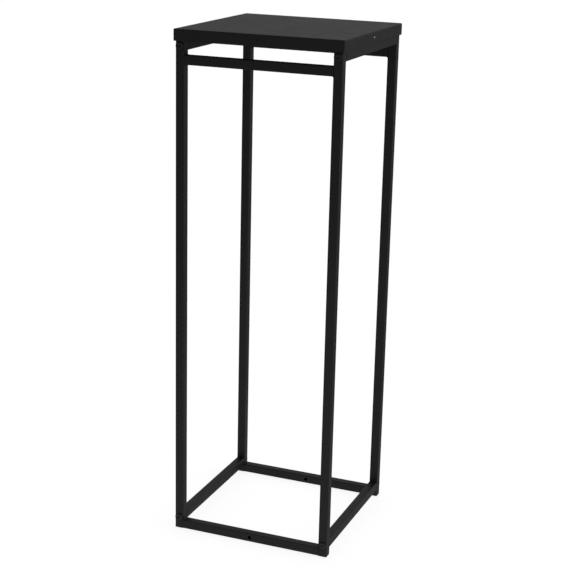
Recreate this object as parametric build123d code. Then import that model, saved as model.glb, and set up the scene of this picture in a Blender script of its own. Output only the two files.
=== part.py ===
"""Display plinth: a folded sheet-steel tray on a knock-down frame of square steel tube.

Millimetres, +Z up. The origin is the centre of the footprint, on the floor. The front faces -Y, and +X is
the right-hand side seen from the front.

The front and rear frames are each welded from two legs, a crossbar and a floor rail. Four loose side rails
join them: button-head bolts pass through the legs into threaded blocks in the rails' ends. The tray drops
over the frame's top like a lid, rests on the caps of the four legs and lifts off.
"""

import math
import os

from build123d import *

# Overall sizes
OVERALL_HEIGHT = 900.0
TRAY_SIDE = 300.0
FRAME_SIDE = 294.0

# Square tube
TUBE = 16.0
WALL = 1.2
TUBE_RADIUS = 1.8
BORE = TUBE - 2 * WALL
BORE_RADIUS = TUBE_RADIUS - WALL

# Tray of folded sheet
SHEET = 1.2
SKIRT_HEIGHT = 20.0
FOLD_RADIUS = 2.0
FOLD_RADIUS_INSIDE = FOLD_RADIUS - SHEET
SKIRT_HOLE_BELOW_TOP = 10.0

# Heights of the bars' centre lines
FLOOR_RAIL_Z = TUBE / 2
CROSSBAR_Z = 849.0
LOW_SIDE_RAIL_Z = 21.0
TOP_SIDE_RAIL_Z = 872.0

# Round holes that stay empty
SKIRT_HOLE_RADIUS = 2.25
RAIL_HOLE_RADIUS = 3.25

# Button-head bolts, M6
BOLT_RADIUS = 3.0
BOLT_LENGTH = 30.0
BOLT_TIP_CHAMFER = 0.8
BOLT_HOLE_RADIUS = 3.3
HEAD_RADIUS = 7.5
HEAD_RIM = 0.8
HEAD_HEIGHT = 3.0
HEAD_FLAT_RADIUS = 4.4
SOCKET_ACROSS_FLATS = 4.0
SOCKET_DEPTH = 2.4

# Threaded blocks inside the ends of the side rails
BLOCK_LENGTH = 18.0
BLOCK_CHAMFER = 0.8
THREAD_CLEARANCE = 0.02

# Plastic plugs in the ends of the legs
CAP_THICKNESS = 1.0
FOOT_THICKNESS = 2.0
STEM_LENGTH = 9.0
STEM_SIDE = 12.8
STEM_WALL = 1.4
STEM_RADIUS = 0.8
RIB_THICKNESS = 0.8
RIB_SPACING = 2.6
RIB_COUNT = 3

# Weld beads in the corners of the two frames
BEAD_LEG = 2.2
BEAD_CROWN = 0.2
BEAD_LENGTH = 11.0

# Derived places
LEG_CENTRE = (FRAME_SIDE - TUBE) / 2
LEG_OUTER_FACE = FRAME_SIDE / 2
LEG_INNER_FACE = FRAME_SIDE / 2 - TUBE
BAR_LENGTH = 2 * LEG_INNER_FACE
LEG_TOP = OVERALL_HEIGHT - SHEET - CAP_THICKNESS

ENDS = {"front": -1, "rear": 1}
SIDES = {"left": -1, "right": 1}
RAIL_LEVELS = {"top": TOP_SIDE_RAIL_Z, "bottom": LOW_SIDE_RAIL_Z}


def square_tube(length):
    """Square tube from the origin up along +Z, open at both ends."""
    outside = extrude(RectangleRounded(TUBE, TUBE, TUBE_RADIUS), length)
    inside = extrude(RectangleRounded(BORE, BORE, BORE_RADIUS), length)
    return outside - inside


def rod_along_y(radius, length, x, y, z):
    return Pos(x, y, z) * Rot(90, 0, 0) * Cylinder(radius, length)


def leg(side, end):
    """One leg, from the floor to its cap, with holes for the two side-rail bolts."""
    x = side * LEG_CENTRE
    y = end * LEG_CENTRE
    shape = Pos(x, y, 0) * square_tube(LEG_TOP)
    for z in RAIL_LEVELS.values():
        shape -= rod_along_y(BOLT_HOLE_RADIUS, 2 * TUBE, x, y, z)
    return shape


def cross_tube(end, z):
    """Tube along X that fits between the two legs of one frame."""
    return Pos(-BAR_LENGTH / 2, end * LEG_CENTRE, z) * Rot(0, 90, 0) * square_tube(BAR_LENGTH)


def floor_rail(end):
    """Bottom bar of one frame, with a plain hole through its middle from front to back."""
    hole = rod_along_y(RAIL_HOLE_RADIUS, 2 * TUBE, 0, end * LEG_CENTRE, FLOOR_RAIL_Z)
    return cross_tube(end, FLOOR_RAIL_Z) - hole


def side_rail(side, z):
    """Tube along Y that fits between a front leg and a rear leg."""
    return Pos(side * LEG_CENTRE, BAR_LENGTH / 2, z) * Rot(90, 0, 0) * square_tube(BAR_LENGTH)


def threaded_block():
    """Steel block that closes a rail's end, tapped for the bolt, from z 0 down along -Z."""
    block = Pos(0, 0, -BLOCK_LENGTH / 2) * Box(BORE, BORE, BLOCK_LENGTH)
    block = chamfer(block.edges().filter_by(Axis.Z), BLOCK_CHAMFER)
    return block - Pos(0, 0, -BLOCK_LENGTH / 2) * Cylinder(BOLT_RADIUS + THREAD_CLEARANCE, BLOCK_LENGTH)


def rail_blocks(side, z):
    """The two threaded blocks of one side rail, flush with its ends."""
    x = side * LEG_CENTRE
    front = Pos(x, -LEG_INNER_FACE, z) * Rot(90, 0, 0) * threaded_block()
    rear = Pos(x, LEG_INNER_FACE, z) * Rot(-90, 0, 0) * threaded_block()
    return Compound(children=[front, rear])


def button_head_bolt():
    """Bolt along Z: the domed head stands on z 0, and the shank runs down along -Z."""
    outline = Polyline(
        (0, HEAD_HEIGHT),
        (0, -BOLT_LENGTH),
        (BOLT_RADIUS - BOLT_TIP_CHAMFER, -BOLT_LENGTH),
        (BOLT_RADIUS, -BOLT_LENGTH + BOLT_TIP_CHAMFER),
        (BOLT_RADIUS, 0),
        (HEAD_RADIUS, 0),
        (HEAD_RADIUS, HEAD_RIM),
    )
    dome_middle = ((HEAD_RADIUS + HEAD_FLAT_RADIUS) / 2 + 0.35, (HEAD_HEIGHT + HEAD_RIM) / 2 + 0.5)
    dome = ThreePointArc((HEAD_RADIUS, HEAD_RIM), dome_middle, (HEAD_FLAT_RADIUS, HEAD_HEIGHT))
    top = Line((HEAD_FLAT_RADIUS, HEAD_HEIGHT), (0, HEAD_HEIGHT))
    body = revolve(Plane.XZ * make_face([outline, dome, top]), Axis.Z)
    socket_radius = SOCKET_ACROSS_FLATS / 2 / math.cos(math.pi / 6)
    socket = Pos(0, 0, HEAD_HEIGHT - SOCKET_DEPTH) * extrude(RegularPolygon(socket_radius, 6), SOCKET_DEPTH)
    return body - socket


def leg_bolts(side, end):
    """The two bolts of one leg, heads on its outer front or back face."""
    bolts = []
    for z in RAIL_LEVELS.values():
        bolts.append(Pos(side * LEG_CENTRE, end * LEG_OUTER_FACE, z) * Rot(-90 * end, 0, 0) * button_head_bolt())
    return Compound(children=bolts)


def tube_plug(head_side, head_radius, head_thickness):
    """Push-in plug: the head stands on z 0, and the hollow ribbed stem runs down along -Z."""
    plug = extrude(RectangleRounded(head_side, head_side, head_radius), head_thickness)
    plug += extrude(RectangleRounded(STEM_SIDE, STEM_SIDE, STEM_RADIUS), -STEM_LENGTH)
    rib = extrude(RectangleRounded(BORE, BORE, STEM_RADIUS), RIB_THICKNESS)
    for number in range(1, RIB_COUNT + 1):
        plug += Pos(0, 0, -number * RIB_SPACING) * rib
    hollow_side = STEM_SIDE - 2 * STEM_WALL
    return plug - extrude(RectangleRounded(hollow_side, hollow_side, STEM_RADIUS), -STEM_LENGTH)


def leg_cap(side, end):
    """Plug on top of a leg; its head is as wide as the tube and carries the tray."""
    return Pos(side * LEG_CENTRE, end * LEG_CENTRE, LEG_TOP) * tube_plug(TUBE, TUBE_RADIUS, CAP_THICKNESS)


def foot_plug(side, end):
    """Plug in the bottom of a leg, inside the tube and flush with its end."""
    plug = tube_plug(BORE, STEM_RADIUS, FOOT_THICKNESS)
    return Pos(side * LEG_CENTRE, end * LEG_CENTRE, FOOT_THICKNESS) * Rot(180, 0, 0) * plug


def weld_bead(side, end, z, up):
    """Fillet bead in the corner between a leg's inner face and a bar; up is 1 above the bar, -1 below."""
    reach = BEAD_LEG
    crown = BEAD_LEG / 2 + BEAD_CROWN
    corner = (side * LEG_INNER_FACE, z)
    along_bar = (corner[0] - side * reach, z)
    up_leg = (corner[0], z + up * reach)
    middle = (corner[0] - side * crown, z + up * crown)
    section = make_face([Line(corner, along_bar), ThreePointArc(along_bar, middle, up_leg), Line(up_leg, corner)])
    return Pos(0, end * LEG_CENTRE, 0) * extrude(Plane.XZ * section, BEAD_LENGTH / 2, both=True)


def frame_welds(end):
    """The beads of one frame: above and below the crossbar's ends and on top of the floor rail's."""
    beads = []
    for side in SIDES.values():
        beads.append(weld_bead(side, end, CROSSBAR_Z + TUBE / 2, 1))
        beads.append(weld_bead(side, end, CROSSBAR_Z - TUBE / 2, -1))
        beads.append(weld_bead(side, end, FLOOR_RAIL_Z + TUBE / 2, 1))
    return Compound(children=beads)


def tray():
    """Shallow pan upside down: a flat plate with a folded skirt all round and welded corners."""
    shell_middle = OVERALL_HEIGHT - SKIRT_HEIGHT / 2
    outside = Pos(0, 0, shell_middle) * Box(TRAY_SIDE, TRAY_SIDE, SKIRT_HEIGHT)
    outside = fillet(outside.edges().filter_by(Axis.Z) + outside.faces().sort_by(Axis.Z)[-1].edges(), FOLD_RADIUS)
    hollow_side = TRAY_SIDE - 2 * SHEET
    inside = Pos(0, 0, shell_middle - SHEET) * Box(hollow_side, hollow_side, SKIRT_HEIGHT)
    rounded = inside.edges().filter_by(Axis.Z) + inside.faces().sort_by(Axis.Z)[-1].edges()
    inside = fillet(rounded, FOLD_RADIUS_INSIDE)
    hole_z = OVERALL_HEIGHT - SKIRT_HOLE_BELOW_TOP
    drill = Cylinder(SKIRT_HOLE_RADIUS, 2 * TRAY_SIDE)
    front_to_back = Pos(0, 0, hole_z) * Rot(90, 0, 0) * drill
    side_to_side = Pos(0, 0, hole_z) * Rot(0, 90, 0) * drill
    return outside - inside - front_to_back - side_to_side


def build_nodes():
    nodes = {"top_tray": tray()}
    for end_name, end in ENDS.items():
        nodes[f"{end_name}_crossbar"] = cross_tube(end, CROSSBAR_Z)
        nodes[f"{end_name}_floor_rail"] = floor_rail(end)
        nodes[f"{end_name}_frame_welds"] = frame_welds(end)
        for side_name, side in SIDES.items():
            corner = f"{end_name}_{side_name}"
            nodes[f"{corner}_leg"] = leg(side, end)
            nodes[f"{corner}_leg_cap"] = leg_cap(side, end)
            nodes[f"{corner}_foot_plug"] = foot_plug(side, end)
            nodes[f"{corner}_leg_bolts"] = leg_bolts(side, end)
    for side_name, side in SIDES.items():
        for level_name, z in RAIL_LEVELS.items():
            nodes[f"{side_name}_{level_name}_rail"] = side_rail(side, z)
            nodes[f"{side_name}_{level_name}_rail_threaded_blocks"] = rail_blocks(side, z)
    return nodes


os.makedirs("parts", exist_ok=True)
for name, shape in build_nodes().items():
    export_step(shape, f"parts/{name}.step")
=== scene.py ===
"""Visual model of the display plinth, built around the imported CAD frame.

Every piece is drawn in millimetres, in the frame's own axes, and becomes metres when its mesh is made.
Places come from the CAD nodes' boxes; the sections, radii and wall thicknesses repeat the CAD's.
"""

import math

import bmesh
import bpy
from mathutils import Matrix, Vector, noise


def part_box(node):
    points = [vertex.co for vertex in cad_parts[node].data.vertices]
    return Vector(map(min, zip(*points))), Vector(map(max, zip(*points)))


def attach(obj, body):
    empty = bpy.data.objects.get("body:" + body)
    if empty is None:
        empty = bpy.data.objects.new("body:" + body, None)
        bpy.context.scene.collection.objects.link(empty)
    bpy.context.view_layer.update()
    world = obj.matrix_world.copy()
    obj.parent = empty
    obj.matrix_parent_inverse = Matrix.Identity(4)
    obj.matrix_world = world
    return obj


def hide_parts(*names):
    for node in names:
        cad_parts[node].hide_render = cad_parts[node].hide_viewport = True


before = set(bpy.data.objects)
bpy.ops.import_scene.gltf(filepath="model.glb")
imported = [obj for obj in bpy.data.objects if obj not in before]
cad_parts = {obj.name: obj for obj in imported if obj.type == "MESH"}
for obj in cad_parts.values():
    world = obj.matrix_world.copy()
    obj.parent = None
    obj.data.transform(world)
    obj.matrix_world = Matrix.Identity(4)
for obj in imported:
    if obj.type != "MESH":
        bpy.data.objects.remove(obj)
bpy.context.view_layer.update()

MM = 0.001
TURN = 2 * math.pi
QUARTER = math.pi / 2
X = Vector((1, 0, 0))
Y = Vector((0, 1, 0))
Z = Vector((0, 0, 1))

ENDS = {"front": -1, "rear": 1}
SIDES = {"left": -1, "right": 1}
CORNERS = [(end, side) for end in ENDS for side in SIDES]
RAILS = [f"{side}_{level}_rail" for side in SIDES for level in ("top", "bottom")]

# Square tube
TUBE_HALF = 8.0
TUBE_WALL = 1.2
TUBE_RADIUS = 1.8
CUT_EDGE = 0.3
BORE_EDGE = 0.2

# Round holes: radii, rounding of the rim, and the ring of faces kept round the rim
BOLT_HOLE = 3.3
RAIL_HOLE = 3.25
SKIRT_HOLE = 2.25
HOLE_EDGE = 0.3
HOLE_MARGIN = 0.6

# How finely curves are drawn, in steps to a quarter of a turn
CORNER_STEPS = 6
EDGE_STEPS = 3
HOLE_STEPS = 8


def node_box(name):
    """Lowest and highest corner of a CAD node, in millimetres."""
    low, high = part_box(name)
    return low / MM, high / MM


# ---------------------------------------------------------------- mesh making


class Shell:
    """Points and faces of one piece, in millimetres. A point's wear is 1 on an exposed edge."""

    def __init__(self):
        self.points = []
        self.wear = []
        self.faces = []

    def loop(self, points, wear=0.0):
        """Adds points and returns their numbers. A point may carry its own wear as a second item."""
        numbers = []
        for point in points:
            own = wear
            if isinstance(point, tuple):
                point, own = point
            numbers.append(len(self.points))
            self.points.append(point)
            self.wear.append(own)
        return numbers

    def band(self, first, second, skip=()):
        """Quads between two closed loops with as many points each."""
        count = len(first)
        for i in range(count):
            if i not in skip:
                j = (i + 1) % count
                self.faces.append((first[i], first[j], second[j], second[i]))

    def bands(self, loops, closed=False):
        """Joins each loop to the next, and the last to the first if closed."""
        pairs = list(zip(loops, loops[1:]))
        if closed:
            pairs.append((loops[-1], loops[0]))
        for first, second in pairs:
            self.band(first, second)

    def lid(self, loop):
        """One face across a loop."""
        self.faces.append(tuple(loop))


# Points closer together than this, in millimetres, become one
MERGE_DISTANCE = 0.002


def make_piece(name, shell, body, nodes, material, crease=50):
    """One Blender object from a shell: smooth shaded, weighted normals, riding on its body."""
    mesh = bpy.data.meshes.new(name)
    mesh.from_pydata([point * MM for point in shell.points], [], shell.faces)
    bm = bmesh.new()
    bm.from_mesh(mesh)
    layer = bm.verts.layers.float.new("wear")
    bm.verts.ensure_lookup_table()
    for vertex, wear in zip(bm.verts, shell.wear):
        vertex[layer] = wear
    bmesh.ops.remove_doubles(bm, verts=bm.verts, dist=MERGE_DISTANCE * MM)
    bmesh.ops.recalc_face_normals(bm, faces=bm.faces)
    bm.to_mesh(mesh)
    bm.free()
    mesh.shade_smooth()
    mesh.set_sharp_from_angle(angle=math.radians(crease))
    mesh.materials.append(material)
    piece = bpy.data.objects.new(name, mesh)
    bpy.context.scene.collection.objects.link(piece)
    normals = piece.modifiers.new("weighted normals", "WEIGHTED_NORMAL")
    normals.mode = "FACE_AREA"
    normals.keep_sharp = True
    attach(piece, body)
    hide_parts(*nodes)


def circle(radius, count, start=0.0):
    """count points on a circle, as pairs, from the angle start."""
    angles = [start + TURN * i / count for i in range(count)]
    return [(radius * math.cos(angle), radius * math.sin(angle)) for angle in angles]


def edge_arc(size, steps=EDGE_STEPS):
    """(sine, versed sine) pairs of a quarter round, scaled by size, from 0 to a right angle."""
    angles = [QUARTER * step / steps for step in range(steps + 1)]
    return [(size * math.sin(angle), size * (1 - math.cos(angle))) for angle in angles]


def spread(half, count):
    """count + 1 even stops from -half to half."""
    return [half * (2 * i / count - 1) for i in range(count + 1)]


def square_profile(flat, radius, stops, steps):
    """Rounded square, counter-clockwise from the bottom of its +u side, as (point, wear) pairs.

    flat is half of a side's straight part, and stops are the places of points along it.
    """
    points = []
    for side in range(4):
        turn = Matrix.Rotation(side * QUARTER, 2)
        own = [(Vector((flat + radius, stop)), 0.0) for stop in stops]
        for step in range(1, steps):
            angle = QUARTER * step / steps
            corner = Vector((flat + radius * math.cos(angle), flat + radius * math.sin(angle)))
            # A corner's wear peaks halfway round it; the powder coat paints this lighter, partly as wear and
            # partly as a painted highlight.
            own.append((corner, math.sin(2 * angle)))
        points += [(turn @ point, wear) for point, wear in own]
    return points


def add_lathe(shell, place, outline, count):
    """Loops of count points round w for each (radius, w, wear) of an outline, joined. Returns the loops."""
    loops = []
    for radius, w, wear in outline:
        loops.append(shell.loop([place(u, v, w) for u, v in circle(radius, count)], wear))
    shell.bands(loops)
    return loops


# Rounding allowed when a level is matched to the edge of a hole's patch
LEVEL_SLACK = 0.01


class Square:
    """A wall swept round a rounded square: a length of tube, or the tray's skirt.

    The section lies in u and v, and w runs along it. An offset is measured inward from the outer face.
    Each hole is cut from a square patch of faces, patch being half its width. Side 0 faces +u, 1 faces +v.
    """

    def __init__(self, shell, origin, axes, half, radius, wall, stops, patch):
        self.shell = shell
        self.origin = origin
        self.axes = axes
        self.half = half
        self.radius = radius
        self.wall = wall
        self.stops = stops
        self.patch = patch
        self.block = len(stops) + CORNER_STEPS - 1
        self.first_stop = stops.index(min(stops, key=lambda stop: abs(stop + patch)))
        self.mouths = {}

    def place(self, u, v, w):
        return self.origin + u * self.axes[0] + v * self.axes[1] + w * self.axes[2]

    def ring(self, w, offset, wear=None, corner_wear=1.0):
        """One loop round the section. Without a wear, only the corners are worn."""
        profile = square_profile(self.half - self.radius, self.radius - offset, self.stops, CORNER_STEPS)
        points = []
        for point, own in profile:
            points.append((self.place(point.x, point.y, w), corner_wear * own if wear is None else wear))
        return self.shell.loop(points)

    def skin(self, levels, offset, holes, sides, corner_wear):
        """Rings at the rising levels, joined except where a hole's patch is left out. Returns the rings."""
        rings = [self.ring(w, offset, corner_wear=corner_wear) for w in levels]
        starts = {side: side * self.block + self.first_stop for side in sides}
        for k in range(len(levels) - 1):
            middle = (levels[k] + levels[k + 1]) / 2
            skip = set()
            if any(abs(middle - hole) < self.patch for hole, _ in holes):
                for start in starts.values():
                    skip |= set(range(start, start + HOLE_STEPS))
            self.shell.band(rings[k], rings[k + 1], skip)
        for number, (hole, _) in enumerate(holes):
            rows = [ring for ring, w in zip(rings, levels) if abs(w - hole) < self.patch + LEVEL_SLACK]
            for side, start in starts.items():
                near = [rows[0][start + c] for c in range(HOLE_STEPS + 1)]
                right = [rows[r][start + HOLE_STEPS] for r in range(1, HOLE_STEPS + 1)]
                far = [rows[-1][start + c] for c in range(HOLE_STEPS - 1, -1, -1)]
                left = [rows[r][start] for r in range(HOLE_STEPS - 1, 0, -1)]
                self.mouths[(number, side, offset)] = near + right + far + left
        return rings

    def bore(self, number, side, w, radius):
        """The wall of one hole, with rounded rims, joined to the outer and the inner skin."""
        # The rim's rounding is marked worn, which the powder coat paints lighter: partly wear, partly a
        # painted highlight in the hole.
        rim = [(radius + HOLE_EDGE + HOLE_MARGIN, 0.0, 0.0)]
        for rise, run in edge_arc(HOLE_EDGE):
            rim.append((radius + HOLE_EDGE - rise, run, 1.0 if 0 < run < HOLE_EDGE else 0.5))
        rim += [(r, self.wall - offset, wear) for r, offset, wear in reversed(rim)]
        turn = Matrix.Rotation(side * QUARTER, 2)
        loops = [self.mouths[(number, side, 0.0)]]
        for r, offset, wear in rim:
            points = []
            for across, along in circle(r, 4 * HOLE_STEPS, 2.5 * QUARTER):
                spot = turn @ Vector((self.half - offset, across))
                points.append(self.place(spot.x, spot.y, w + along))
            loops.append(self.shell.loop(points, wear))
        loops.append(self.mouths[(number, side, self.wall)])
        self.shell.bands(loops)


# ---------------------------------------------------------------- materials

# Black powder coat
COAT_DARK = (0.0270, 0.0270, 0.0275)
COAT_LIGHT = (0.0320, 0.0320, 0.0322)
COAT_SPECK = (0.0420, 0.0420, 0.0420)
# Lighter colour on edges marked worn: partly worn, thinner film, partly a painted highlight along the edges
COAT_EDGE_WEAR_HIGHLIGHT = (0.0600, 0.0600, 0.0590)
COAT_ROUGH = 0.47
COAT_ROUGH_SPREAD = 0.035
COAT_BURNISH = -0.08
COAT_SPECULAR = 0.5

# Black zinc of the bolts
BOLT_COOL = (0.050, 0.050, 0.053)
BOLT_WARM = (0.070, 0.068, 0.065)
BOLT_EDGE = (0.19, 0.188, 0.183)
BOLT_METALLIC = 0.85

# Bright zinc of the threaded blocks
ZINC_DARK = (0.48, 0.49, 0.50)
ZINC_LIGHT = (0.60, 0.61, 0.62)

# Black nylon of the caps and plugs
NYLON_DARK = (0.016, 0.016, 0.016)
NYLON_LIGHT = (0.023, 0.023, 0.023)
NYLON_EDGE = (0.05, 0.05, 0.05)


class Graph:
    """A node tree being built. Each method adds one step and returns the socket that it gives."""

    def __init__(self, tree):
        self.tree = tree

    def node(self, kind):
        return self.tree.nodes.new(kind)

    def feed(self, socket, value):
        """Links a socket, or sets it to a number, a direction or a colour given as a tuple of three."""
        if isinstance(value, bpy.types.NodeSocket):
            self.tree.links.new(value, socket)
        elif isinstance(value, tuple):
            socket.default_value = (*value, 1.0)
        else:
            socket.default_value = value

    def noise(self, scale, detail, rough=0.5):
        """Noise fixed to the piece, with scale in features per metre."""
        grain = self.node("ShaderNodeTexNoise")
        self.feed(grain.inputs["Vector"], self.node("ShaderNodeTexCoord").outputs["Object"])
        self.feed(grain.inputs["Scale"], scale)
        self.feed(grain.inputs["Detail"], detail)
        self.feed(grain.inputs["Roughness"], rough)
        return grain.outputs["Fac"]

    def remap(self, source, low, high, from_low=0.3, from_high=0.7):
        """source stretched from one range to another, and clamped. Noise rarely leaves 0.3 to 0.7."""
        remap = self.node("ShaderNodeMapRange")
        self.feed(remap.inputs["Value"], source)
        self.feed(remap.inputs["From Min"], from_low)
        self.feed(remap.inputs["From Max"], from_high)
        self.feed(remap.inputs["To Min"], low)
        self.feed(remap.inputs["To Max"], high)
        return remap.outputs["Result"]

    def mix(self, factor, first, second):
        """Colour mix. A Mix node's colour sockets come after those of its other kinds."""
        mix = self.node("ShaderNodeMix")
        mix.data_type = "RGBA"
        self.feed(mix.inputs[0], factor)
        self.feed(mix.inputs[6], first)
        self.feed(mix.inputs[7], second)
        return mix.outputs[2]

    def math(self, operation, first, second):
        step = self.node("ShaderNodeMath")
        step.operation = operation
        self.feed(step.inputs[0], first)
        self.feed(step.inputs[1], second)
        return step.outputs[0]

    def wear(self, scale, low, high):
        """The mesh's wear mask, broken up by noise; on the powder coat it also places a painted highlight on
        the edges.
        """
        wear = self.node("ShaderNodeAttribute")
        wear.attribute_name = "wear"
        patches = self.remap(self.noise(scale, 4.0, 0.6), low, high, 0.35, 0.65)
        return self.math("MULTIPLY", wear.outputs["Fac"], patches)

    def bump(self, source, distance, strength, below=None):
        """Bump with its height in metres, on top of another bump if one is given."""
        bump = self.node("ShaderNodeBump")
        self.feed(bump.inputs["Height"], source)
        self.feed(bump.inputs["Distance"], distance)
        self.feed(bump.inputs["Strength"], strength)
        if below is not None:
            self.feed(bump.inputs["Normal"], below)
        return bump.outputs["Normal"]


def new_material(name):
    """A material with its graph and its shader's inputs."""
    material = bpy.data.materials.new(name)
    material.use_nodes = True
    return material, Graph(material.node_tree), material.node_tree.nodes["Principled BSDF"].inputs


def powder_coat():
    """Black powder coat: fine orange peel, soft sheen, a thinner and more burnished film on the edges, whose
    lighter colour is partly worn film and partly a painted highlight.
    """
    material, graph, shader = new_material("black_powder_coat")
    cloud = graph.remap(graph.noise(38.0, 3.0), 0.0, 1.0)
    speck = graph.remap(graph.noise(2600.0, 2.0), 0.0, 0.25, 0.55, 0.75)
    film = graph.mix(speck, graph.mix(cloud, COAT_DARK, COAT_LIGHT), COAT_SPECK)
    # Edges marked worn are painted lighter: partly worn film, partly a painted highlight
    wear = graph.wear(160.0, 0.15, 0.7)
    graph.feed(shader["Base Color"], graph.mix(wear, film, COAT_EDGE_WEAR_HIGHLIGHT))
    waves = graph.noise(55.0, 4.0, 0.6)
    rough = graph.remap(waves, COAT_ROUGH - COAT_ROUGH_SPREAD, COAT_ROUGH + COAT_ROUGH_SPREAD)
    burnish = graph.math("MULTIPLY", wear, COAT_BURNISH)
    graph.feed(shader["Roughness"], graph.math("ADD", rough, burnish))
    graph.feed(shader["Specular IOR Level"], COAT_SPECULAR)
    peel = graph.bump(graph.noise(420.0, 2.0), 0.00004, 0.5)
    graph.feed(shader["Normal"], graph.bump(graph.noise(1900.0, 3.0, 0.6), 0.000016, 0.6, peel))
    return material


def black_zinc():
    """Black zinc on steel: a dark metal with a faint warm and cool cast and fine handling marks."""
    material, graph, shader = new_material("black_zinc_bolts")
    film = graph.mix(graph.remap(graph.noise(240.0, 3.0), 0.0, 1.0), BOLT_COOL, BOLT_WARM)
    graph.feed(shader["Base Color"], graph.mix(graph.wear(420.0, 0.1, 0.9), film, BOLT_EDGE))
    graph.feed(shader["Roughness"], graph.remap(graph.noise(900.0, 4.0, 0.6), 0.34, 0.46))
    graph.feed(shader["Metallic"], BOLT_METALLIC)
    graph.feed(shader["Normal"], graph.bump(graph.noise(2400.0, 3.0), 0.00001, 0.5))
    return material


def zinc_steel():
    """Bright zinc plate with a grained, slightly cloudy surface."""
    material, graph, shader = new_material("plain_zinc_steel")
    cloud = graph.remap(graph.noise(300.0, 4.0, 0.65), 0.0, 1.0)
    graph.feed(shader["Base Color"], graph.mix(cloud, ZINC_DARK, ZINC_LIGHT))
    graph.feed(shader["Roughness"], graph.remap(graph.noise(700.0, 4.0), 0.28, 0.42))
    graph.feed(shader["Metallic"], 1.0)
    graph.feed(shader["Normal"], graph.bump(graph.noise(1500.0, 4.0), 0.00001, 0.5))
    return material


def nylon():
    """Moulded black nylon: matte, with a fine spark-eroded texture and rubbed edges."""
    material, graph, shader = new_material("black_nylon")
    film = graph.mix(graph.remap(graph.noise(180.0, 3.0), 0.0, 1.0), NYLON_DARK, NYLON_LIGHT)
    graph.feed(shader["Base Color"], graph.mix(graph.wear(300.0, 0.0, 0.6), film, NYLON_EDGE))
    graph.feed(shader["Roughness"], graph.remap(graph.noise(500.0, 3.0), 0.5, 0.62))
    graph.feed(shader["Normal"], graph.bump(graph.noise(3200.0, 2.0), 0.00002, 0.6))
    return material


COAT = powder_coat()
BLACK_ZINC = black_zinc()
ZINC = zinc_steel()
NYLON = nylon()


# ---------------------------------------------------------------- tubes

# A section's u and v and its length w, for a piece that runs along each axis
ALONG_X = (Z, Y, X)
ALONG_Y = (X, Z, Y)
ALONG_Z = (X, Y, Z)


def add_tube(shell, start, axes, length, holes):
    """Square tube from start along axes[2], open at both ends. holes are (place along it, radius)."""
    flat = TUBE_HALF - TUBE_RADIUS
    stops = spread(flat, HOLE_STEPS)
    tube = Square(shell, start, axes, TUBE_HALF, TUBE_RADIUS, TUBE_WALL, stops, flat)
    between = sorted(place + stop for place, _ in holes for stop in stops)
    outer = tube.skin([CUT_EDGE, *between, length - CUT_EDGE], 0.0, holes, (1, 3), 1.0)
    inner = tube.skin([BORE_EDGE, *between, length - BORE_EDGE], TUBE_WALL, holes, (1, 3), 0.0)
    # The rounded ends are marked worn, which the powder coat paints lighter: partly wear, partly a painted
    # highlight.
    for row, end, way in ((0, 0.0, 1), (-1, length, -1)):
        loops = [outer[row]]
        for rise, run in edge_arc(CUT_EDGE)[1:]:
            loops.append(tube.ring(end + way * (CUT_EDGE - rise), run, 1.0))
        for rise, run in reversed(edge_arc(BORE_EDGE)[1:]):
            loops.append(tube.ring(end + way * (BORE_EDGE - rise), TUBE_WALL - run, 0.6))
        loops.append(inner[row])
        shell.bands(loops)
    for number, (place, radius) in enumerate(holes):
        for side in (1, 3):
            tube.bore(number, side, place, radius)


def tube_piece(name, axes, holes=()):
    """Tube in place of a CAD tube. holes are (place along the tube in the frame, radius)."""
    low, high = node_box(name)
    middle = (low + high) / 2
    way = axes[2]
    first = low.dot(way)
    start = middle + (first - middle.dot(way)) * way
    shell = Shell()
    local = [(place - first, radius) for place, radius in holes]
    add_tube(shell, start, axes, (high - low).dot(way), local)
    make_piece(f"{name}_coated", shell, "frame", [name], COAT)


# ---------------------------------------------------------------- tray

SHEET = 1.2
FOLD_RADIUS = 2.0
SHEET_EDGE = 0.35
SKIRT_HOLE_DROP = 10.0
SKIRT_PATCH = 5.0
# Stops along the tray outside its hole's patch, as shares of the half width
TRAY_STOPS = (0.15, 0.4, 0.7, 1.0)
# Wear marked along the tray's outer folds, which the coat paints lighter: partly wear, partly a painted
# highlight
FOLD_WEAR_HIGHLIGHT = 0.6


def add_plate(shell, pan, ring, w):
    """Fills the last ring of a fold with a grid of quads."""
    last = len(pan.stops) - 1
    grid = {}
    for i, x in enumerate(pan.stops):
        for j, y in enumerate(pan.stops):
            if j == 0:
                grid[i, j] = ring[3 * pan.block + i]
            elif i == last:
                grid[i, j] = ring[j]
            elif j == last:
                grid[i, j] = ring[pan.block + last - i]
            elif i == 0:
                grid[i, j] = ring[2 * pan.block + last - j]
            else:
                grid[i, j] = shell.loop([pan.place(x, y, w)])[0]
    for i in range(last):
        for j in range(last):
            shell.faces.append((grid[i, j], grid[i + 1, j], grid[i + 1, j + 1], grid[i, j + 1]))


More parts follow.
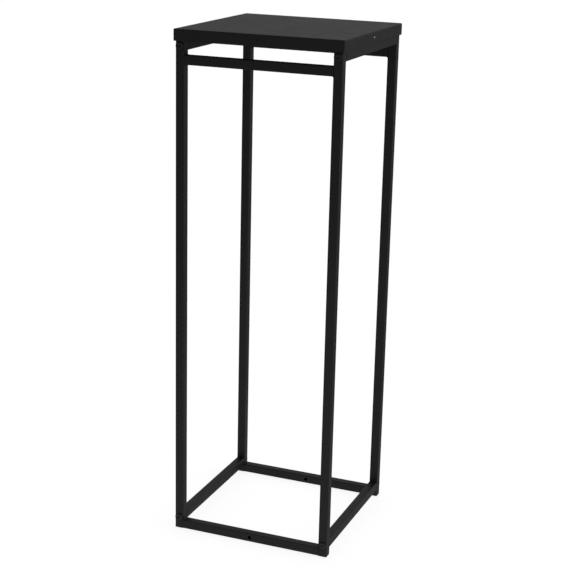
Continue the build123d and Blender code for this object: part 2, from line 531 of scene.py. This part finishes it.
def tray():
    """Folded sheet tray: skirt, rounded folds, flat plate and a hole in the middle of each side."""
    low, high = node_box("top_tray")
    half = (high.x - low.x) / 2
    depth = high.z - low.z
    outward = [(half - FOLD_RADIUS) * share for share in TRAY_STOPS]
    patch = spread(SKIRT_PATCH, HOLE_STEPS)
    stops = sorted([-stop for stop in outward] + patch + outward)
    shell = Shell()
    pan = Square(shell, low.z * Z, ALONG_Z, half, FOLD_RADIUS, SHEET, stops, SKIRT_PATCH)
    hole = depth - SKIRT_HOLE_DROP
    fold = depth - FOLD_RADIUS
    levels = [SHEET_EDGE, *(hole + stop for stop in patch), fold]
    outer = pan.skin(levels, 0.0, [(hole, SKIRT_HOLE)], range(4), 0.5)
    inner = pan.skin(levels, SHEET, [(hole, SKIRT_HOLE)], range(4), 0.0)
    for side in range(4):
        pan.bore(0, side, hole, SKIRT_HOLE)

    # The skirt's lower edge, marked worn, which the coat paints lighter: partly wear, partly a painted
    # highlight
    rim = [outer[0]]
    for rise, run in edge_arc(SHEET_EDGE)[1:]:
        rim.append(pan.ring(SHEET_EDGE - rise, run, 0.8))
    for rise, run in reversed(edge_arc(SHEET_EDGE)[1:]):
        rim.append(pan.ring(SHEET_EDGE - rise, SHEET - run, 0.6))
    rim.append(inner[0])
    shell.bands(rim)

    # The folds and the flat plate, outside and inside
    skins = ((outer[-1], 0.0, FOLD_RADIUS, FOLD_WEAR_HIGHLIGHT), (inner[-1], SHEET, FOLD_RADIUS - SHEET, 0.0))
    for start, offset, size, wear in skins:
        loops = [start]
        for rise, run in edge_arc(size, CORNER_STEPS)[1:]:
            share = 0.3 + math.sin(math.pi * min(rise / size, 1.0))
            loops.append(pan.ring(fold + rise, offset + run, wear * share))
        shell.bands(loops)
        add_plate(shell, pan, loops[-1], fold + size)
    make_piece("top_tray_coated", shell, "tray", ["top_tray"], COAT)


# ---------------------------------------------------------------- bolts

SHANK_RADIUS = 3.0
SHANK_LENGTH = 30.0
SHANK_COUNT = 24
HEAD_RADIUS = 7.5
HEAD_HEIGHT = 3.0
HEAD_COUNT = 2 * SHANK_COUNT
SOCKET_FLAT = 2.0
SOCKET_FLOOR = 0.6
THREAD_PITCH = 1.0
THREAD_DEPTH = 0.55
THREAD_STEPS = 5
# Slope of the thread's flanks: above 1, a flat crest is left between two grooves
THREAD_SLOPE = 1.25
PLAIN_NECK = 2.0
NECK_FADE = 1.5
TIP_TAPER = 0.9
TIP_DROP = 0.8
# Degrees that a socket is turned by, and what is added for an upper bolt, a right leg and a rear leg
FIRST_ROLL = 17
UPPER_ROLL = 23
RIGHT_ROLL = 62
REAR_ROLL = 22

# The head's outline as (radius, height, wear), below and above the dome
HEAD_FOOT = [
    (SHANK_RADIUS + 0.5, 0.0, 0.0),
    (HEAD_RADIUS - 0.25, 0.0, 0.0),
    (HEAD_RADIUS - 0.07, 0.07, 0.7),
    (HEAD_RADIUS, 0.25, 0.4),
]
HEAD_TOP = [
    (4.1, HEAD_HEIGHT, 0.3),
    (2.75, HEAD_HEIGHT, 0.2),
    (2.6, HEAD_HEIGHT - 0.02, 0.7),
]
# The dome's quadratic curve, from its rim to the flat top: (radius, height)
DOME_RIM = Vector((HEAD_RADIUS, 0.8))
DOME_BULGE = Vector((6.65, 2.9))
DOME_TOP = Vector((4.4, HEAD_HEIGHT))
DOME_STEPS = 8
# The hexagon socket as (half width across flats, height, wear), and the drill point under it
SOCKET_WALL = [
    (SOCKET_FLAT + 0.03, HEAD_HEIGHT - 0.22, 0.8),
    (SOCKET_FLAT, HEAD_HEIGHT - 0.3, 0.3),
    (SOCKET_FLAT, SOCKET_FLOOR + 0.05, 0.0),
    (SOCKET_FLAT - 0.08, SOCKET_FLOOR, 0.0),
]
DRILL_POINT = [(1.2, SOCKET_FLOOR - 0.12, 0.0), (0.4, SOCKET_FLOOR - 0.28, 0.0)]


def dome():
    """Outline of a button head from its rim to its flat top, as (radius, height, wear)."""
    points = []
    for step in range(DOME_STEPS + 1):
        t = step / DOME_STEPS
        point = (1 - t) ** 2 * DOME_RIM + 2 * t * (1 - t) * DOME_BULGE + t * t * DOME_TOP
        points.append((point.x, point.y, 0.25))
    return points


def hexagon(half):
    """HEAD_COUNT points on a hexagon with the given half width across its flats."""
    sixth = TURN / 6
    points = []
    for u, v in circle(1.0, HEAD_COUNT):
        from_flat = (math.atan2(v, u) + sixth / 2) % sixth - sixth / 2
        radius = half / math.cos(from_flat)
        points.append((radius * u, radius * v))
    return points


def thread(w, share):
    """(radius, wear) of the shank at a height w, a share of a turn round it."""
    phase = (w / THREAD_PITCH + share) % 1
    groove = THREAD_DEPTH * max(0.0, 1 - abs(2 * phase - 1) * THREAD_SLOPE)
    fade = min(1.0, max(0.0, (-w - PLAIN_NECK) / NECK_FADE))
    taper = min(1.0, max(0.0, (w + SHANK_LENGTH) / TIP_TAPER))
    radius = min(SHANK_RADIUS - groove * fade, SHANK_RADIUS - TIP_DROP * (1 - taper))
    return radius, 0.2 * (1 - groove / THREAD_DEPTH)


def add_head(shell, place):
    """Button head with a hexagon socket. Returns the loop under it that the shank joins."""
    loops = add_lathe(shell, place, HEAD_FOOT + dome() + HEAD_TOP, HEAD_COUNT)
    socket = [loops[-1]]
    for half, w, wear in SOCKET_WALL:
        socket.append(shell.loop([place(u, v, w) for u, v in hexagon(half)], wear))
    shell.bands(socket)
    pit = add_lathe(shell, place, DRILL_POINT, HEAD_COUNT)
    shell.band(socket[-1], pit[0])
    shell.lid(pit[-1])
    return loops[0]


def add_shank(shell, place):
    """Shank with a rolled thread, rising by one pitch each turn. Returns its first loop."""
    rows = []
    step = THREAD_PITCH / THREAD_STEPS
    for row in range(int((SHANK_LENGTH - step) / step) + 1):
        w = -row * step
        points = []
        for i, (u, v) in enumerate(circle(1.0, SHANK_COUNT)):
            radius, wear = thread(w, i / SHANK_COUNT)
            points.append((place(radius * u, radius * v, w), wear))
        rows.append(shell.loop(points))
    rows += add_lathe(shell, place, [(SHANK_RADIUS - TIP_DROP, -SHANK_LENGTH, 0.3)], SHANK_COUNT)
    shell.bands(rows)
    shell.lid(rows[-1])
    return rows[0]


def add_bolt(shell, seat, out, turn):
    """Button-head bolt: its head stands on seat, out is away from the leg, turn rolls the socket."""
    roll = Matrix.Rotation(turn, 3, out)
    across = roll @ X
    up = roll @ Z

    def place(u, v, w):
        return seat + u * across + v * up + w * out

    collar = add_head(shell, place)
    neck = add_shank(shell, place)
    for i in range(SHANK_COUNT):
        a, b, c = collar[2 * i], collar[2 * i + 1], collar[(2 * i + 2) % HEAD_COUNT]
        d, e = neck[i], neck[(i + 1) % SHANK_COUNT]
        shell.faces += [(a, b, d), (b, c, e, d)]


def bolt_levels(corner):
    """Heights of a leg's two bolts."""
    low, high = node_box(f"{corner}_leg_bolts")
    return low.z + HEAD_RADIUS, high.z - HEAD_RADIUS


def leg_bolts(end, side):
    """Both bolts of one leg, on its outer face. Each socket stops at an angle of its own."""
    corner = f"{end}_{side}"
    low, high = node_box(f"{corner}_leg")
    face = low.y if end == "front" else high.y
    roll = FIRST_ROLL + RIGHT_ROLL * (side == "right") + REAR_ROLL * (end == "rear")
    shell = Shell()
    for number, level in enumerate(bolt_levels(corner)):
        seat = Vector(((low.x + high.x) / 2, face, level))
        add_bolt(shell, seat, ENDS[end] * Y, math.radians(roll + UPPER_ROLL * number))
    name = f"{corner}_leg_bolts"
    make_piece(f"{name}_button_head", shell, "frame", [name], BLACK_ZINC, 42)


# ---------------------------------------------------------------- caps, plugs and blocks

STEM_HALF = 6.4
STEM_RADIUS = 0.8
STEM_LENGTH = 9.0
STEM_HOLLOW = 5.0
BORE_HALF = TUBE_HALF - TUBE_WALL
PLUG_EDGE = 0.3
PLUG_CORNER_STEPS = 5
FOOT_PLUG_HEAD = 2.0
RIBS = 3
RIB_SPACING = 2.6
RIB_THICKNESS = 0.8
BLOCK_LENGTH = 18.0
BLOCK_CHAMFER = 0.8
BLOCK_BORE = 3.02

# One rib from its top to its bottom, and the stem's hollow end, as (half width, height, wear)
RIB_OUTLINE = [
    (STEM_HALF, RIB_THICKNESS, 0.0),
    (BORE_HALF - 0.1, RIB_THICKNESS - 0.05, 0.3),
    (BORE_HALF, RIB_THICKNESS - 0.25, 0.5),
    (BORE_HALF - 0.15, 0.05, 0.3),
    (STEM_HALF, 0.0, 0.0),
]
STEM_END = [
    (STEM_HALF, 0.5, 0.0),
    (STEM_HALF - 0.25, 0.0, 0.4),
    (STEM_HOLLOW + 0.15, 0.0, 0.4),
    (STEM_HOLLOW, 0.15, 0.0),
    (STEM_HOLLOW, STEM_LENGTH, 0.0),
]


def plug_outline(half, radius, thickness):
    """(half width, corner radius, height, wear) from the head's top down the stem and into its hollow."""
    rows = []
    for rise, run in reversed(edge_arc(PLUG_EDGE)):
        rows.append((half - run, radius - min(run, 0.2), thickness - PLUG_EDGE + rise, 0.8 if run else 0.3))
    rows.append((half, radius, 0.1, 0.2))
    rows.append((half - 0.1, radius, 0.0, 0.2))
    rows.append((STEM_HALF, STEM_RADIUS, 0.0 if half > BORE_HALF else -0.1, 0.0))
    for rib in range(1, RIBS + 1):
        for width, rise, wear in RIB_OUTLINE:
            rows.append((width, STEM_RADIUS, rise - rib * RIB_SPACING, wear))
    for width, rise, wear in STEM_END:
        rows.append((width, STEM_RADIUS, rise - STEM_LENGTH, wear))
    return rows


def add_plug(shell, seat, up, head_half, head_radius, thickness):
    """Moulded tube plug: its head stands on seat towards up, its ribbed hollow stem goes the other way."""
    loops = []
    for half, radius, w, wear in plug_outline(head_half, head_radius, thickness):
        flat = half - radius
        profile = square_profile(flat, radius, spread(flat, 2), PLUG_CORNER_STEPS)
        loops.append(shell.loop([seat + point.x * X + point.y * Y + w * up for point, _ in profile], wear))
    shell.bands(loops)
    shell.lid(loops[0])
    shell.lid(loops[-1])


def add_block(shell, mouth, inward):
    """Threaded block: square bar with chamfered corners and a bore, from its mouth inward."""
    flat = BORE_HALF - BLOCK_CHAMFER
    rounded = square_profile(flat, BLOCK_CHAMFER, spread(flat, HOLE_STEPS), 1)
    profile = [(point.x, point.y) for point, _ in rounded]
    count = len(profile)
    first = -TURN * HOLE_STEPS / 2 / count

    def loop(points, w, wear):
        return shell.loop([mouth + u * X + v * Z + w * inward for u, v in points], wear)

    def square(half, w, wear):
        return loop([(u * half / BORE_HALF, v * half / BORE_HALF) for u, v in profile], w, wear)

    ends = []
    for far, way in ((0.0, 1), (BLOCK_LENGTH, -1)):
        ends.append([
            square(BORE_HALF, far + way * 0.25, 0.0),
            square(BORE_HALF - 0.2, far, 0.8),
            loop(circle(BLOCK_BORE + 0.45, count, first), far, 0.3),
            loop(circle(BLOCK_BORE, count, first), far + way * 0.45, 0.0),
        ])
    shell.bands(ends[0] + ends[1][::-1], closed=True)


def cap_and_plug(corner):
    """The cap in the top of a leg and the plug in its foot."""
    low, high = node_box(f"{corner}_leg")
    middle = (low + high) / 2
    cap = Shell()
    thickness = node_box(f"{corner}_leg_cap")[1].z - high.z
    add_plug(cap, Vector((middle.x, middle.y, high.z)), Z, TUBE_HALF, TUBE_RADIUS, thickness)
    name = f"{corner}_leg_cap"
    make_piece(f"{name}_moulded", cap, "frame", [name], NYLON, 40)
    plug = Shell()
    seat = Vector((middle.x, middle.y, low.z + FOOT_PLUG_HEAD))
    add_plug(plug, seat, -Z, BORE_HALF, STEM_RADIUS, FOOT_PLUG_HEAD)
    name = f"{corner}_foot_plug"
    make_piece(f"{name}_moulded", plug, "frame", [name], NYLON, 40)


def threaded_blocks(rail):
    """The block in each end of a side rail."""
    low, high = node_box(rail)
    middle = (low + high) / 2
    shell = Shell()
    for y, inward in ((low.y, Y), (high.y, -Y)):
        add_block(shell, Vector((middle.x, y, middle.z)), inward)
    name = f"{rail}_threaded_blocks"
    make_piece(f"{name}_tapped", shell, "frame", [name], ZINC, 40)


# ---------------------------------------------------------------- weld beads

BEAD_LEG = 2.2
BEAD_CROWN = 0.27
BEAD_LENGTH = 11.0
BEAD_STATIONS = 56
BEAD_STEPS = 8
# Length over which each end of a bead swells, and the share of its size that it starts from
BEAD_SWELL = 1.3
BEAD_START = 0.35
# Ripples: spacing, height, and how far the middle of each is bowed
RIPPLE = 0.85
RIPPLE_HEIGHT = 0.09
RIPPLE_BOW = 0.9
# Uneven hand: its height, and how fast it changes along the bead, across it and from bead to bead
WANDER = 0.10
WANDER_ALONG = 0.45
WANDER_ACROSS = 0.6
WANDER_SEED = 7.0
FIRST_SEED = 0.13
NEXT_SEED = 0.37
# How far the bead's back lies inside the tubes' corner, and a crown's share along each of its legs
SINK = 0.04
SLANT = 0.707


def add_bead(shell, corner, away, up, seed):
    """Fillet weld along Y in the corner between a leg and a bar, with overlapping ripples under the coat."""
    stations = []
    for k in range(BEAD_STATIONS + 1):
        y = BEAD_LENGTH * (k / BEAD_STATIONS - 0.5)
        to_end = (BEAD_LENGTH / 2 - abs(y)) / BEAD_SWELL
        swell = math.sqrt(max(0.0, 1 - (1 - min(to_end, 1.0)) ** 2))
        points = [corner + y * Y - SINK * (away + up)]
        for step in range(BEAD_STEPS + 1):
            t = step / BEAD_STEPS
            arch = math.sin(math.pi * t)
            phase = ((y + RIPPLE_BOW * arch) / RIPPLE + seed) % 1
            ripple = RIPPLE_HEIGHT * (phase - 0.5) * arch
            spot = Vector((y * WANDER_ALONG, seed * WANDER_SEED, t * WANDER_ACROSS))
            wander = WANDER * noise.noise(spot)
            reach = (BEAD_LEG + wander) * (BEAD_START + (1 - BEAD_START) * swell)
            crown = SLANT * arch * (BEAD_CROWN * swell + ripple + wander)
            along = reach * (1 - t) + crown - SINK * (step == BEAD_STEPS)
            rise = reach * t + crown - SINK * (step == 0)
            points.append(corner + y * Y + along * away + rise * up)
        stations.append(shell.loop(points))
    shell.bands(stations)
    shell.lid(stations[0])
    shell.lid(stations[-1])


def frame_welds(end):
    """The six beads of one welded frame: over and under the crossbar, and over the floor rail."""
    shell = Shell()
    crossbar = node_box(f"{end}_crossbar")
    rail = node_box(f"{end}_floor_rail")
    y = (rail[0].y + rail[1].y) / 2
    seed = FIRST_SEED * (ENDS[end] + 2)
    for x, away in ((rail[0].x, X), (rail[1].x, -X)):
        for z, up in ((crossbar[1].z, Z), (crossbar[0].z, -Z), (rail[1].z, Z)):
            seed += NEXT_SEED
            add_bead(shell, Vector((x, y, z)), away, up, seed)
    name = f"{end}_frame_welds"
    make_piece(f"{name}_coated", shell, "frame", [name], COAT, 55)


# ---------------------------------------------------------------- floor, light and camera

# Lobes of the dome: strength, direction, and how narrow the lobe is
LIGHTS = {
    "zenith": (0.12, (0, 0, 1), 1.0),
    "back": (0.31, (-0.2, 1, 0.45), 5.0),
    "right": (0.12, (1, 0, 0.15), 2.0),
    "right_back": (0.45, (1, 0.6, 0.1), 6.0),
    "left": (0.10, (-1, 0, 0.15), 2.0),
    "front_below": (0.26, (0, -1, -0.5), 4.0),
}
# Low lamps: watts, place in metres, size in metres, and turn about X in degrees
LAMPS = {
    "floor_pool": (0.75, (-0.1, -0.15, 0.0005), (1.5, 1.5), 180),
    "front_strip": (0.20, (-0.1, -1.0, 0.08), (1.2, 0.15), 90),
}
BACKGROUND = 1.0
WHITE = (1.0, 1.0, 1.0)

FLOOR_HALF = 40.0
FLOOR_HEIGHT = -0.0002
FLOOR_COLOUR = (0.8, 0.8, 0.8)
FLOOR_GLOW = 0.87

# Yaw turns left from +Y and pitch is downward, in degrees
CAMERA_PLACE = (0.90336, -2.28044, 1.16389)
CAMERA_YAW = 21.502
CAMERA_PITCH = 16.562
CAMERA_ROLL = -1.369
CAMERA_LENS = 89.166
CAMERA_SENSOR = 36.0


def add_world():
    """Soft studio dome of a few broad lobes of light; the camera itself sees a plain white surround."""
    world = bpy.data.worlds.new("studio")
    world.use_nodes = True
    world.node_tree.nodes.clear()
    graph = Graph(world.node_tree)
    where = graph.node("ShaderNodeTexCoord").outputs["Generated"]
    total = 0.0
    for strength, direction, power in LIGHTS.values():
        dot = graph.node("ShaderNodeVectorMath")
        dot.operation = "DOT_PRODUCT"
        graph.feed(dot.inputs[0], where)
        graph.feed(dot.inputs[1], Vector(direction).normalized())
        facing = graph.math("MAXIMUM", dot.outputs["Value"], 0.0)
        lobe = graph.math("MULTIPLY", graph.math("POWER", facing, power), strength)
        total = graph.math("ADD", lobe, total)
    either = graph.node("ShaderNodeMixShader")
    graph.feed(either.inputs[0], graph.node("ShaderNodeLightPath").outputs["Is Camera Ray"])
    for number, strength in ((1, total), (2, BACKGROUND)):
        light = graph.node("ShaderNodeBackground")
        graph.feed(light.inputs["Color"], WHITE)
        graph.feed(light.inputs["Strength"], strength)
        graph.feed(either.inputs[number], light.outputs[0])
    graph.feed(graph.node("ShaderNodeOutputWorld").inputs["Surface"], either.outputs[0])
    bpy.context.scene.world = world


def add_floor():
    """Plain white floor. The dome stands in for its bounce, so it is seen by the camera alone."""
    material, graph, shader = new_material("floor")
    graph.feed(shader["Base Color"], FLOOR_COLOUR)
    graph.feed(shader["Roughness"], 0.9)
    graph.feed(shader["Specular IOR Level"], 0.0)
    graph.feed(shader["Emission Color"], WHITE)
    graph.feed(shader["Emission Strength"], FLOOR_GLOW)
    mesh = bpy.data.meshes.new("floor")
    signs = ((-1, -1), (1, -1), (1, 1), (-1, 1))
    mesh.from_pydata([(x * FLOOR_HALF, y * FLOOR_HALF, FLOOR_HEIGHT) for x, y in signs], [], [(0, 1, 2, 3)])
    mesh.materials.append(material)
    floor = bpy.data.objects.new("floor", mesh)
    bpy.context.scene.collection.objects.link(floor)
    floor.visible_diffuse = False
    floor.visible_glossy = False
    floor.visible_shadow = False


def add_lamps():
    """Area lights near the floor, unseen by the camera, for the glow that a white floor casts up the legs."""
    for name, (energy, place, size, turn) in LAMPS.items():
        light = bpy.data.lights.new(name, "AREA")
        light.shape = "ELLIPSE"
        light.size, light.size_y = size
        light.energy = energy
        lamp = bpy.data.objects.new(name, light)
        lamp.location = place
        lamp.rotation_euler.x = math.radians(turn)
        lamp.visible_camera = False
        bpy.context.scene.collection.objects.link(lamp)


def add_camera():
    """Camera at the angle of the picture."""
    yaw, pitch, roll = (math.radians(angle) for angle in (CAMERA_YAW, CAMERA_PITCH, CAMERA_ROLL))
    ahead = Vector((-math.sin(yaw) * math.cos(pitch), math.cos(yaw) * math.cos(pitch), -math.sin(pitch)))
    level = Vector((math.cos(yaw), math.sin(yaw), 0))
    down = ahead.cross(level)
    right = level * math.cos(roll) + down * math.sin(roll)
    lower = down * math.cos(roll) - level * math.sin(roll)
    camera = bpy.data.cameras.new("camera")
    camera.lens = CAMERA_LENS
    camera.sensor_width = CAMERA_SENSOR
    camera.clip_start = 0.05
    camera.clip_end = 60.0
    eye = bpy.data.objects.new("camera", camera)
    turn = Matrix((right, -lower, -ahead)).transposed()
    eye.matrix_world = Matrix.Translation(CAMERA_PLACE) @ turn.to_4x4()
    bpy.context.scene.collection.objects.link(eye)
    bpy.context.scene.camera = eye


# ---------------------------------------------------------------- the whole scene

for end in ENDS:
    tube_piece(f"{end}_crossbar", ALONG_X)
    tube_piece(f"{end}_floor_rail", ALONG_X, [(0.0, RAIL_HOLE)])
    for side in SIDES:
        levels = bolt_levels(f"{end}_{side}")
        tube_piece(f"{end}_{side}_leg", ALONG_Z, [(level, BOLT_HOLE) for level in levels])
for rail in RAILS:
    tube_piece(rail, ALONG_Y)
tray()
for end, side in CORNERS:
    leg_bolts(end, side)
for end, side in CORNERS:
    cap_and_plug(f"{end}_{side}")
for rail in RAILS:
    threaded_blocks(rail)
for end in ENDS:
    frame_welds(end)

add_world()
add_floor()
add_lamps()
add_camera()
bpy.context.scene.view_settings.view_transform = "Standard"

bpy.context.view_layer.update()
